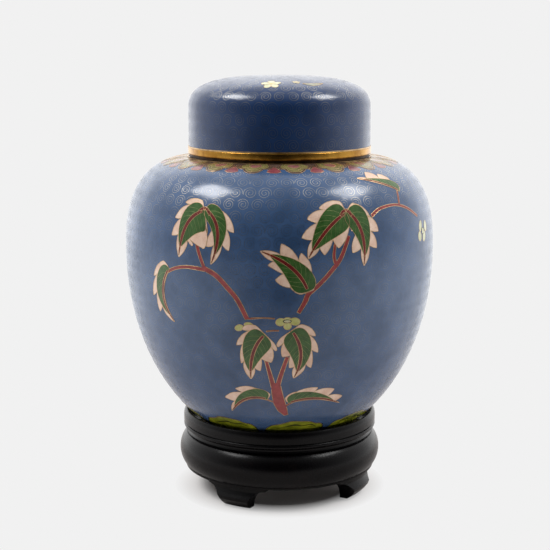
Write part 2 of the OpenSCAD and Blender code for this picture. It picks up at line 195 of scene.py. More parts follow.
def make_floor():
    """A pale table: it catches a soft shadow under the stand, and fades into the backdrop."""
    half = 30
    corners = [(-half, -half, 0), (half, -half, 0), (half, half, 0), (-half, half, 0)]
    mesh = bpy.data.meshes.new("floor")
    mesh.from_pydata(corners, [], [(0, 1, 2, 3)])
    floor = bpy.data.objects.new("floor", mesh)
    bpy.context.scene.collection.objects.link(floor)
    paint = Paint("floor_pale")
    length = paint.node("VectorMath")
    length.operation = "LENGTH"
    path = paint.node("LightPath")
    glow = paint.node("Emission")
    white = paint.node("Emission")
    far = paint.node("MixShader")
    whole = paint.node("MixShader")
    paint.link(paint.place, length.inputs[0])
    far_share = paint.ramp(length.outputs["Value"], *GLOW_EDGE)
    seen_share = paint.ramp(length.outputs["Value"], *SHADOW_EDGE)
    seen_share = paint.math("MULTIPLY", seen_share, path.outputs["Is Camera Ray"])
    table = glow_by_direction(paint.tree, paint.place, TABLE)
    room = glow_by_direction(paint.tree, paint.place, ROOM)
    distance = paint.ramp(length.outputs["Value"], *TABLE_EDGE)
    paint.link(paint.mix(distance, table, room), glow.inputs["Color"])
    white.inputs["Color"].default_value = BACKDROP
    paint.shader.inputs["Base Color"].default_value = FLOOR_TONE
    paint.shader.inputs["Roughness"].default_value = 0.9
    paint.shader.inputs["Specular IOR Level"].default_value = 0.1
    paint.link(far_share, far.inputs[0])
    paint.link(paint.shader.outputs[0], far.inputs[1])
    paint.link(glow.outputs[0], far.inputs[2])
    paint.link(seen_share, whole.inputs[0])
    paint.link(far.outputs[0], whole.inputs[1])
    paint.link(white.outputs[0], whole.inputs[2])
    paint.link(whole.outputs[0], paint.out.inputs["Surface"])
    mesh.materials.append(paint.material)


# ---- Materials ----

class Paint:
    """A Principled material with helpers for the procedural detail on it."""

    def __init__(self, name):
        self.material = bpy.data.materials.new(name)
        self.material.use_nodes = True
        self.tree = self.material.node_tree
        self.shader = self.tree.nodes["Principled BSDF"]
        self.out = self.tree.nodes["Material Output"]
        self.place = self.node("TexCoord").outputs["Object"]

    def node(self, kind):
        return self.tree.nodes.new("ShaderNode" + kind)

    def link(self, source, target):
        self.tree.links.new(source, target)

    def stretched(self, scale):
        node = self.node("Mapping")
        node.inputs["Scale"].default_value = scale
        self.link(self.place, node.inputs["Vector"])
        return node.outputs[0]

    def noise(self, scale, detail=3, roughness=0.5, place=None):
        node = self.node("TexNoise")
        node.inputs["Scale"].default_value = scale
        node.inputs["Detail"].default_value = detail
        node.inputs["Roughness"].default_value = roughness
        self.link(place or self.place, node.inputs["Vector"])
        return node.outputs["Fac"]

    def dots(self, scale, size):
        """1 in small round dots, 0 between them."""
        node = self.node("TexVoronoi")
        node.inputs["Scale"].default_value = scale
        self.link(self.place, node.inputs["Vector"])
        return self.ramp(node.outputs["Distance"], size, size * 0.6)

    def ramp(self, value, low, high, to_low=0.0, to_high=1.0):
        node = self.node("MapRange")
        node.inputs["From Min"].default_value = low
        node.inputs["From Max"].default_value = high
        node.inputs["To Min"].default_value = to_low
        node.inputs["To Max"].default_value = to_high
        self.link(value, node.inputs["Value"])
        return node.outputs["Result"]

    def math(self, kind, a, b):
        node = self.node("Math")
        node.operation = kind
        for socket, value in zip(node.inputs, (a, b)):
            if isinstance(value, (int, float)):
                socket.default_value = value
            else:
                self.link(value, socket)
        return node.outputs[0]

    def mix(self, share, a, b):
        node = self.node("Mix")
        node.data_type = "RGBA"
        self.link(share, node.inputs["Factor"])
        for socket, value in zip((node.inputs[6], node.inputs[7]), (a, b)):
            if isinstance(value, tuple):
                socket.default_value = value + (1,)
            else:
                self.link(value, socket)
        return node.outputs[2]

    def colour(self, value):
        self.link(value, self.shader.inputs["Base Color"])

    def gloss(self, value):
        self.link(value, self.shader.inputs["Roughness"])

    def bump(self, height, depth_mm):
        node = self.node("Bump")
        node.inputs["Distance"].default_value = depth_mm * MM
        self.link(height, node.inputs["Height"])
        self.link(node.outputs[0], self.shader.inputs["Normal"])


def enamel(name, deep, pale, blotch, gloss=0.2, pitting=0.5):
    """Fired and polished enamel: cloudy colour, fine grit, a few open pits, a soft uneven gloss."""
    paint = Paint(name)
    clouds = paint.ramp(paint.noise(blotch, 4, 0.6), 0.3, 0.7)
    grit = paint.noise(2400, 2, 0.6)
    pits = paint.math("MULTIPLY", paint.dots(520, 0.16), paint.ramp(paint.noise(60, 2), 0.45, 0.6))
    body = paint.mix(clouds, deep, pale)
    dark = tuple(0.35 * c for c in deep)
    body = paint.mix(paint.ramp(grit, 0.55, 0.8, 0, 0.35), body, dark)
    body = paint.mix(paint.math("MULTIPLY", pits, pitting), body, dark)
    paint.colour(body)
    smear = paint.noise(35, 3, 0.6)
    paint.gloss(paint.ramp(smear, 0.3, 0.7, gloss * 0.8, gloss * 1.25))
    wave = paint.noise(230, 2, 0.4)
    skin = paint.math("ADD", wave, paint.math("MULTIPLY", grit, 0.25))
    paint.bump(paint.math("SUBTRACT", skin, paint.math("MULTIPLY", pits, 3.0)), 0.006)
    paint.shader.inputs["IOR"].default_value = 1.52
    return paint.material


def metal(name, bright, dull, gloss, patina=160):
    """Gilt brass or copper: warm metal that has gone brown in patches, with fine rubbing marks."""
    paint = Paint(name)
    stain = paint.ramp(paint.noise(patina, 4, 0.65), 0.42, 0.68)
    paint.colour(paint.mix(stain, bright, dull))
    rubbing = paint.noise(1, 3, 0.6, paint.stretched((500, 500, 4500)))
    paint.gloss(paint.ramp(rubbing, 0.3, 0.7, gloss * 0.8, gloss * 1.3))
    paint.bump(rubbing, 0.004)
    paint.shader.inputs["Metallic"].default_value = 1
    return paint.material


def scroll_wire(name, dull, low, high):
    """Brass wire that is dark below a height and painted bright above it: a painted highlight where the
    wires catch the light at the top.
    """
    paint = Paint(name)
    split = paint.node("SeparateXYZ")
    paint.link(paint.place, split.inputs[0])
    # painted highlight: the wire's colour turns lighter above the given height, where the wires glint
    rubbing_and_painted_glint = paint.ramp(split.outputs["Z"], low, high, 0.25, 0.95)
    patches = paint.ramp(paint.noise(90, 4, 0.6), 0.42, 0.6, 0.25, 1)
    # the colour of the painted highlight on the wires
    bright = (0.42, 0.4, 0.34)
    paint.colour(paint.mix(paint.math("MULTIPLY", rubbing_and_painted_glint, patches), dull, bright))
    paint.gloss(paint.ramp(patches, 0, 1, 0.48, 0.36))
    paint.bump(paint.noise(2000, 2, 0.6), 0.004)
    paint.shader.inputs["Metallic"].default_value = 1
    return paint.material


def lacquered_wood(name):
    """Black lacquer over turned hardwood: the grain telegraphs through, and rubbed places are brown."""
    paint = Paint(name)
    grain = paint.noise(1, 5, 0.6, paint.stretched((900, 90, 900)))
    fine = paint.noise(1, 3, 0.6, paint.stretched((3200, 260, 3200)))
    rubbing_and_painted_glint = paint.ramp(paint.noise(70, 4, 0.6), 0.5, 0.75)
    black = (0.0008, 0.0005, 0.001)
    brown = (0.007, 0.004, 0.004)
    streak = paint.math("MULTIPLY", rubbing_and_painted_glint, paint.ramp(grain, 0.4, 0.7))
    paint.colour(paint.mix(streak, black, brown))
    paint.gloss(paint.ramp(fine, 0.25, 0.75, 0.2, 0.32))
    paint.bump(paint.math("ADD", grain, paint.math("MULTIPLY", fine, 0.5)), 0.012)
    paint.shader.inputs["IOR"].default_value = 1.24
    return paint.material


def make_materials():
    return {
        "blue": enamel("enamel_blue", (0.033, 0.072, 0.158), (0.058, 0.113, 0.236), 90),
        "lid_blue": enamel("enamel_lid_blue", (0.008, 0.029, 0.094), (0.017, 0.046, 0.134), 90, 0.21),
        "green": enamel("enamel_leaf_green", (0.019, 0.068, 0.009), (0.056, 0.138, 0.03), 420),
        "pink": enamel("enamel_leaf_pink", (0.74, 0.47, 0.34), (0.92, 0.7, 0.56), 240, 0.2, 0.2),
        "red": enamel("enamel_stem_red", (0.2, 0.02, 0.021), (0.35, 0.048, 0.048), 380),
        "rib": enamel("enamel_midrib_red", (0.11, 0.009, 0.008), (0.21, 0.022, 0.019), 380),
        "cream": enamel("enamel_cream", (0.52, 0.53, 0.31), (0.66, 0.66, 0.44), 500, 0.2, 0.2),
        "leek": enamel("enamel_blossom_green", (0.42, 0.42, 0.1), (0.64, 0.62, 0.28), 500, 0.2, 0.2),
        "olive": enamel("enamel_lappet_olive", (0.12, 0.1, 0.035), (0.24, 0.22, 0.08), 300),
        "mauve": enamel("enamel_lappet_mauve", (0.18, 0.06, 0.065), (0.28, 0.12, 0.11), 400),
        "umber": enamel("enamel_band_umber", (0.06, 0.038, 0.03), (0.11, 0.07, 0.055), 300),
        "brick": enamel("enamel_spacer_brick", (0.17, 0.035, 0.045), (0.26, 0.065, 0.07), 400),
        "mound": enamel("enamel_mound_green", (0.07, 0.085, 0.004), (0.3, 0.32, 0.02), 200),
        "ink": enamel("enamel_outline_dark", (0.006, 0.008, 0.006), (0.014, 0.018, 0.01), 400),
        "sage": enamel("enamel_lid_leaf", (0.18, 0.24, 0.17), (0.3, 0.36, 0.27), 400),
        "lining": enamel("enamel_lining_turquoise", (0.02, 0.12, 0.14), (0.04, 0.2, 0.22), 70),
        "gilt": metal("gilt_wire", (0.62, 0.42, 0.22), (0.3, 0.19, 0.1), 0.34, 300),
        "brass": metal("gilt_brass", (0.44, 0.23, 0.04), (0.24, 0.1, 0.012), 0.22),
        # the scroll wires are painted bright above these heights, in metres: a painted highlight at the
        # jar's shoulder and at the lid's crown
        "scroll": scroll_wire("scroll_wire", (0.035, 0.06, 0.11), 0.118, 0.134),
        "lid_scroll": scroll_wire("lid_scroll_wire", (0.022, 0.036, 0.07), 0.1655, 0.1705),
        "vein": metal("vein_wire", (0.22, 0.26, 0.1), (0.09, 0.13, 0.05), 0.4, 300),
        # near-black brass for the neck collar: painted shade for the dark gap under the lid's ring
        "shaded_collar": metal("collar_painted_shade", (0.06, 0.035, 0.02), (0.012, 0.009, 0.007), 0.5),
        "copper": metal("copper_sheet", (0.7, 0.32, 0.18), (0.3, 0.13, 0.08), 0.35),
        "wood": lacquered_wood("wood_black_lacquer"),
    }


# ---- Turned outlines ----

def around(angle, r, z):
    """Points or directions at an angle round the axis, which is 0 at the front."""
    return np.stack([r * np.sin(angle), -r * np.cos(angle), z], axis=-1)


class Turned:
    """A turned outline with its outward normals, followed by arc length from its lowest point."""

    def __init__(self, points):
        points = np.array(points, float)
        along = np.concatenate([[0], np.cumsum(np.hypot(*np.diff(points, axis=0).T))])
        self.s = np.linspace(0, along[-1], OUTLINE_ROWS)
        self.r = np.interp(self.s, along, points[:, 0])
        self.z = np.interp(self.s, along, points[:, 1])
        run, rise = np.gradient(self.r, self.s), np.gradient(self.z, self.s)
        size = np.hypot(run, rise)
        self.out, self.up = rise / size, -run / size
        self.widest = int(np.argmax(self.r))

    def at_height(self, z):
        return np.interp(z, self.z, self.s)

    def at_radius(self, r):
        """The arc length where the outline, on its way up and in, has this radius."""
        closing = slice(self.widest, None)
        return np.interp(-np.asarray(r, float), -self.r[closing], self.s[closing])

    def radius(self, s):
        return np.interp(s, self.s, self.r)

    def put(self, angle, s, lift):
        out, up = np.interp(s, self.s, self.out), np.interp(s, self.s, self.up)
        r = self.radius(s) + lift * out
        z = np.interp(s, self.s, self.z) + lift * up
        return around(angle, r, z), around(angle, out, up)


def quarter(inner, outer, z, height, power, turns):
    """A quarter of a superellipse: from the outer radius at z to the inner radius at z + height."""
    return [(inner + (outer - inner) * abs(math.cos(a)) ** (2 / power),
             z + height * math.sin(a) ** (2 / power)) for a in turns]


def jar_outline():
    lower_end = math.asin(((BELLY_Z - BASE_Z) / TAPER_H) ** (TAPER_POWER / 2))
    turns = np.linspace(lower_end, 0, 600)[:-1]
    lower = quarter(0, JAR_RADIUS, BELLY_Z, -TAPER_H, TAPER_POWER, turns)
    turns = np.linspace(0, math.pi / 2, OUTLINE_ROWS)
    upper = quarter(SHOULDER_R, JAR_RADIUS, BELLY_Z, SHOULDER_H, SHOULDER_POWER, turns)
    return Turned(lower + upper)


def lid_outline():
    turns = np.linspace(0, math.pi / 2, OUTLINE_ROWS)
    crown = quarter(0, LID_RADIUS, CROWN_Z, CROWN_H, LID_POWER, turns)
    return Turned([(LID_RADIUS, LID_WALL_Z)] + crown)


class SideChart:
    """Flat millimetres round and up a turned outline, measured from one direction."""

    def __init__(self, outline, turn, skin):
        self.outline, self.turn, self.skin = outline, turn, skin

    def flat(self, place):
        s = self.outline.at_height(place[1])
        return (math.radians(place[0]) * self.outline.radius(s), s)

    def put(self, flat, lift):
        angle = math.radians(self.turn) + flat[:, 0] / self.outline.radius(flat[:, 1])
        return self.outline.put(angle, flat[:, 1], lift + self.skin)

    def flattened(self, points):
        angle = np.arctan2(points[:, 0], -points[:, 1]) - math.radians(self.turn)
        angle = (angle + math.pi) % (2 * math.pi) - math.pi
        s = self.outline.at_height(points[:, 2])
        return np.stack([angle * self.outline.radius(s), s], axis=1)


class TopChart(SideChart):
    """Flat millimetres as seen from above, on the rounded top of a turned outline."""

    def put(self, flat, lift):
        s = self.outline.at_radius(np.hypot(flat[:, 0], flat[:, 1]))
        angle = math.radians(self.turn) + np.arctan2(flat[:, 0], -flat[:, 1])
        return self.outline.put(angle, s, lift + self.skin)

    def flattened(self, points):
        turn = math.radians(self.turn)
        x, y = points[:, 0], points[:, 1]
        return np.column_stack([x * math.cos(turn) + y * math.sin(turn),
                                y * math.cos(turn) - x * math.sin(turn)])


# ---- Flat shapes ----

def bend(a, b, c, count):
    """A curve from a to c that is pulled towards b."""
    t = np.linspace(0, 1, count)[:, None]
    a, b, c = (np.asarray(p, float) for p in (a, b, c))
    return (1 - t) ** 2 * a + 2 * t * (1 - t) * b + t ** 2 * c


def smooth(points, per_span=8):
    """A smooth curve through all the points."""
    p = np.asarray(points, float)
    knots = np.vstack([2 * p[0] - p[1], p, 2 * p[-1] - p[-2]])
    t = np.linspace(0, 1, per_span, endpoint=False)[:, None]
    spans = []
    for a, b, c, d in zip(knots, knots[1:], knots[2:], knots[3:]):
        spans.append(0.5 * (2 * b + (c - a) * t + (2 * a - 5 * b + 4 * c - d) * t ** 2
                            + (3 * b - a - 3 * c + d) * t ** 3))
    return np.vstack(spans + [p[-1:]])


def across(line):
    """The unit direction to the left of a line at each of its points."""
    run = np.gradient(line, axis=0)
    run /= np.maximum(np.hypot(run[:, 0], run[:, 1]), 1e-9)[:, None]
    return np.stack([-run[:, 1], run[:, 0]], axis=1)


def ribbon(line, widths):
    """The outline of a band round a line, with widths given at even steps along it."""
    step = np.linspace(0, 1, len(line))
    half = np.interp(step, np.linspace(0, 1, len(widths)), widths)[:, None] / 2
    side = across(line)
    return np.vstack([line + half * side, (line - half * side)[::-1]])


def ellipse(centre, rx, ry, lean=0):
    a = np.linspace(0, 2 * math.pi, 24, endpoint=False)
    flat = np.stack([rx * np.cos(a), ry * np.sin(a)], axis=1)
    c, s = math.cos(math.radians(lean)), math.sin(math.radians(lean))
    return flat @ np.array([[c, s], [-s, c]]) + np.asarray(centre, float)


def rounded(outline):
    """A closed outline with its corners cut."""
    cut = 0.2
    ahead = np.roll(outline, -1, axis=0)
    near, far = outline + cut * (ahead - outline), ahead - cut * (ahead - outline)
    return np.stack([near, far], axis=1).reshape(-1, 2)


def resampled(line, step, closed=False):
    """The same line with points at even steps, corners kept."""
    line = np.asarray(line, float)
    ends = np.roll(line, -1, axis=0) if closed else line[1:]
    out = []
    for a, b in zip(line, ends):
        count = max(1, int(math.hypot(*(b - a)) / step))
        out.extend(a + (b - a) * k / count for k in range(count))
    if not closed:
        out.append(line[-1])
    return np.array(out)


def inside(points, outline):
    """Which points lie inside a closed outline."""
    x, y = points[:, 0], points[:, 1]
    hit = np.zeros(len(points), bool)
    for (ax, ay), (bx, by) in zip(outline, np.roll(outline, -1, axis=0)):
        spans = (ay > y) != (by > y)
        if spans.any():
            cut = ax + (y - ay) * (bx - ax) / (by - ay)
            hit ^= spans & (x < cut)
    return hit


def filled(outlines):
    """Triangles that fill the union of some outlines, with inner points to follow a curved surface."""
    edges, points = [], []
    for outline in outlines:
        first = len(points)
        points.extend(outline)
        count = len(outline)
        edges += [(first + i, first + (i + 1) % count) for i in range(count)]
    low, high = np.min(points, axis=0), np.max(points, axis=0)
    pitch = FILL_PITCH
    grid = np.stack(np.meshgrid(np.arange(low[0], high[0], pitch),
                                np.arange(low[1], high[1], pitch)), axis=-1).reshape(-1, 2)
    grid[:, 0] += (np.round((grid[:, 1] - low[1]) / pitch) % 2) * pitch / 2
    keep = np.any([inside(grid, outline) for outline in outlines], axis=0)
    gaps = np.min(np.linalg.norm(grid[:, None] - np.array(points)[None], axis=2), axis=1)
    points.extend(grid[keep & (gaps > pitch * 0.35)])
    corners, _, faces, *_ = delaunay_2d_cdt([Vector(p) for p in points], edges, [], 1, 1e-6)
    return np.array([tuple(v) for v in corners]), faces


# ---- Sheets: thin layers laid on a turned surface ----

class Sheet:
    """Collects patches and wires, and makes one piece of them."""

    def __init__(self):
        self.points, self.normals, self.faces = [], [], []
        self.count = 0

    def add(self, points, normals, faces):
        self.points.append(points)
        self.normals.append(normals)
        self.faces.extend(tuple(i + self.count for i in face) for face in faces)
        self.count += len(points)

    def fill(self, chart, outlines, lift):
        flat, faces = filled(outlines)
        points, normals = chart.put(flat, lift)
        self.add(points, normals, faces)

    def wire(self, chart, line, width, closed=False, foot=WIRE_FOOT, crest=WIRE_CREST):
        """A fine wire polished down to a low round crest."""
        if closed:
            line = np.vstack([line, line[:1]])
        side = across(line)
        if closed:
            side[0] = side[-1] = (side[0] + side[-1]) / 2
        left, left_n = chart.put(line + side * width / 2, foot)
        middle, middle_n = chart.put(line, crest)
        right, right_n = chart.put(line - side * width / 2, foot)
        tilt = CREST_ROUNDING * (crest - foot) / (width / 2)
        n = len(line)
        points = np.vstack([left, middle, right])
        left_n = left_n + tilt * (left - middle)
        right_n = right_n + tilt * (right - middle)
        normals = np.vstack([left_n, middle_n, right_n])
        faces = []
        for i in range(n - 1):
            faces.append((i, n + i, n + i + 1, i + 1))
            faces.append((n + i, 2 * n + i, 2 * n + i + 1, n + i + 1))
        self.add(points, normals, faces)

    def rim(self, chart, outline, width, step=0.5):
        """A wire all the way round an outline."""
        self.wire(chart, resampled(outline, step, True), width, True)

    def rim_outside(self, chart, outline, others, width, step):
        """A wire round an outline, left out where it runs under other outlines."""
        for run in runs_outside(resampled(outline, step, True), others):
            self.wire(chart, run, width)

    def build(self, name, material, body, slot, replaces):
        mesh = smooth_mesh(name, np.vstack(self.points), self.faces)
        normals = np.vstack(self.normals)
        normals /= np.linalg.norm(normals, axis=1)[:, None]
        mesh.normals_split_custom_set_from_vertices(normals.tolist())
        add_piece(mesh, material, body, replaces)


def smooth_mesh(name, points, faces):
    mesh = bpy.data.meshes.new(name)
    mesh.from_pydata((points * MM).tolist(), [], faces)
    mesh.polygons.foreach_set("use_smooth", [True] * len(mesh.polygons))
    return mesh


def add_piece(mesh, material, body, replaces):
    """Puts a finished mesh in the scene as a piece of the same name that rides on a body."""
    mesh.materials.append(material)
    piece = bpy.data.objects.new(mesh.name, mesh)
    bpy.context.scene.collection.objects.link(piece)
    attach(piece, body)
    if replaces:
        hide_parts(*replaces)


def closed_rings(name, rings, material, body, replaces):
    """A closed turned piece through rings of points, of which the last joins up with the first."""
    columns = len(rings[0])
    faces = []
    for i in range(len(rings)):
        here, beyond = i * columns, (i + 1) % len(rings) * columns
        for k in range(columns):
            after = (k + 1) % columns
            faces.append((here + k, here + after, beyond + after, beyond + k))
    mesh = smooth_mesh(name, np.vstack(rings), faces)
    mesh.set_sharp_from_angle(angle=math.radians(SHARP_CORNER))
    add_piece(mesh, material, body, replaces)


def turned_skin(name, outline, skin, material, body, replaces, thickness, top, rows, columns):
    """A closed turned skin that follows an outline up to an arc length, coarser on its inside."""
    angles = np.linspace(0, 2 * math.pi, columns, endpoint=False)
    section = [(s, skin) for s in np.linspace(0, top, rows)]
    section += [(s, skin - thickness) for s in np.linspace(top, 0, INNER_ROWS)]
    rings = [outline.put(angles, np.full(columns, s), lift)[0] for s, lift in section]
    closed_rings(name, rings, material, body, replaces)


def lathe(name, section, material, body, replaces, columns):
    """A closed solid of revolution from a closed section of (radius, height) points."""
    angles = np.linspace(0, 2 * math.pi, columns, endpoint=False)
    rings = [around(angles, r, np.full(columns, z)) for r, z in section]
    closed_rings(name, rings, material, body, replaces)


# ---- The spray of leaves ----

# Each leaf: the midrib from its base through its middle to its tip, and the tips of its pink teeth.
LEAVES = {
    "low_left": ([(-5.9, 79), (-9.9, 71.2), (-11.4, 60.4)],
                 [(-13.4, 81.6), (-15.8, 75.1), (-14.6, 67.3), (-1.4, 73.1), (-3.1, 68.1),
                  (-7.3, 64.3)]),
    "low_right": ([(5.1, 80.2), (7.9, 71), (5.5, 61)],
                  [(13, 79), (14.3, 71.9), (12.1, 65.4), (-0.5, 74.8), (1.1, 70.4), (3.7, 65.8)]),
    "ground_left": ([(-6.6, 51.6), (-15.5, 50.6), (-24, 44)],
                    [(-11.1, 56.2), (-18.8, 55.7), (-25.1, 50.9)]),
    "ground_right": ([(5.6, 50), (17, 51), (29.4, 47.4)],
                     [(7.6, 54.9), (16.1, 56.4), (24, 54.9), (29.2, 51)]),
    "upper_left": ([(-28.8, 126.3), (-34.4, 120.4), (-36.9, 108.1)],
                   [(-36.6, 129.3), (-39.9, 123.3), (-40.5, 116.5), (-25.6, 118.4), (-26.5, 112.3),
                    (-31.1, 113.1)]),
    "upper_left_inner": ([(-26.1, 126.6), (-21.5, 118.7), (-23.9, 106.4)],
                         [(-15.5, 119.2), (-17.2, 112.1), (-25.6, 113.4)]),
    "edge": ([(-42.4, 101.9), (-45.2, 91.5), (-40.8, 81.5)],
             [(-50, 99.3), (-51.2, 91.2), (-48.4, 84.8)]),
    "upper_right": ([(23, 125.6), (15.6, 119.2), (9.6, 109.4)],
                    [(14.1, 128.3), (9.4, 124.3), (7.4, 117.5), (25.4, 119.2), (20.4, 113.1),
                     (15.4, 110.7)]),
    "upper_right_outer": ([(25.5, 125.9), (29.6, 117.5), (30, 105.4)],
                          [(33.9, 123.7), (36.6, 118.2), (35.4, 112.1), (25.5, 110.9)]),
    "middle": ([(9.2, 98.3), (3.5, 106.7), (-6.6, 112.6)],
               [(9.6, 105.2), (7.1, 112), (0.6, 115.5), (3.5, 99.3), (-1.4, 101.6), (-3.9, 107.2)]),
    "twig": ([(52.5, 132.7), (43.8, 136), (33.8, 138.1)],
             [(47, 138.9), (41, 139.9)]),
}

# Each stem: the points that it runs through, and its width at even steps along it
STEMS = {
    "trunk": ([(3.3, 43.3), (1, 47), (-0.6, 52), (-1.6, 58.9)], [1.6, 3.8, 4.6, 4.3, 3.6]),
    "trunk_left": ([(-2.3, 56.5), (-3.4, 61.5), (-5, 69)], [2, 1.7, 1.2]),
    "trunk_right": ([(-0.9, 56.5), (0.4, 62), (2.9, 70.4)], [1.9, 1.7, 1.4]),
    "ground_left": ([(-2.2, 49.8), (-5, 50.9), (-7.4, 51.7)], [0.5, 0.6, 0.7]),
    "ground_right": ([(1.8, 46.8), (4, 48.8), (6.6, 50.2)], [0.5, 0.7, 0.8]),
    "left_branch": ([(-11.2, 86), (-14.3, 93.2), (-17.4, 97.5), (-21.8, 102.4), (-26.5, 105)],
                    [1.7, 1.8, 1.9, 1.9]),
    "left_outer": ([(-25.6, 104.4), (-32.9, 104.8), (-38, 103.9), (-42.6, 101.8)],
                   [1.5, 1.2, 1.2, 1.3]),
    "left_upper": ([(-26.3, 104.9), (-28.8, 112.1), (-29.6, 117.6)], [1.3, 1.4, 1.5]),
    "right_branch": ([(6.5, 88.6), (8.7, 93), (9.8, 95.9), (13, 99), (16.2, 102.6), (19.8, 107.2)],
                     [1.4, 1.9, 1.7, 1.6, 1.7]),
    "middle": ([(9.3, 95), (9.5, 96.6), (9.2, 99)], [1.4, 1.4, 1.3]),
    "bud_twig": ([(-11.4, 86.1), (-6, 86.6), (-1.6, 86.4)], [0.6, 0.4, 0.4]),
    "leaf_twig": ([(-4.6, 81.2), (-2.4, 81.5), (-0.2, 81.5)], [0.5, 0.5, 0.5]),
    "right_inner": ([(19.4, 106.6), (18.6, 110), (19.2, 115.5)], [1.2, 1.2, 0.9]),
    "right_outer": ([(19.4, 106.4), (21.6, 110.5), (24.3, 117.5)], [1.6, 1.6, 1.4]),
    "spike": ([(21.2, 130.5), (21.9, 128.6), (22.6, 126.8)], [0.25, 0.8, 1.3]),
    "twig": ([(34.4, 124.3), (39.1, 126.7), (47.1, 127.4), (54, 125.5), (60.4, 121.6)],
             [1.5, 1.2, 0.9, 0.9, 0.8]),
    "twig_leaf": ([(49.8, 127.2), (50.8, 130), (52.2, 132.8)], [0.9, 0.9, 0.8]),
}

# The red arches that join two midribs
ARCHES = [
    [(-30.2, 125.4), (-29, 127), (-27.6, 127.6), (-26.2, 126.9), (-25.2, 125.2)],
    [(21.8, 125.2), (22.9, 126.5), (24.2, 127), (25.4, 126.3), (26, 125)],
]

# Each blossom: its petals as (place, half-width, half-height, lean), and its eye or None
BLOSSOMS = {
    "centre": ([((0.4, 85), 1.9, 1.6, 14), ((5.3, 85.2), 2.1, 1.6, -10), ((2.8, 83.3), 1.5, 1.5, 0),
                ((2.8, 86), 1.6, 0.9, 0)], ((2.7, 85.3), 1.7, 0.75)),
    "left": ([((-14.2, 82.3), 1.8, 1.3, 20), ((-10.8, 83.5), 1.8, 1.2, -8)], None),
    "right": ([((60.6, 113.4), 1.5, 2, 20), ((64.6, 112.9), 1.5, 2.1, -12),
               ((61.8, 117.4), 1.4, 2.2, -10), ((66.6, 116.8), 1.5, 2.2, 14)],
              ((63.6, 115.2), 1.2, 1.5)),
}

RIB_WIDTH = 1.35
TWIG_RIB_WIDTH = 0.8
TEETH_STEPS = 6
BASE_AT = -0.08             # where the pink edge starts, as a share of the midrib
TOOTH_LENGTH = 0.34         # how far back along the midrib the first tooth starts
BARE_SIDE = 0.3             # half-width of a leaf on a side that has no teeth
GREEN_FROM, GREEN_TO = -0.07, 0.86      # where the green of a leaf starts and ends, as shares
RIB_FROM, RIB_TO = -0.02, 0.97          # and the red of its midrib
VEIN_STARTS = np.arange(0.04, 0.66, 0.11)


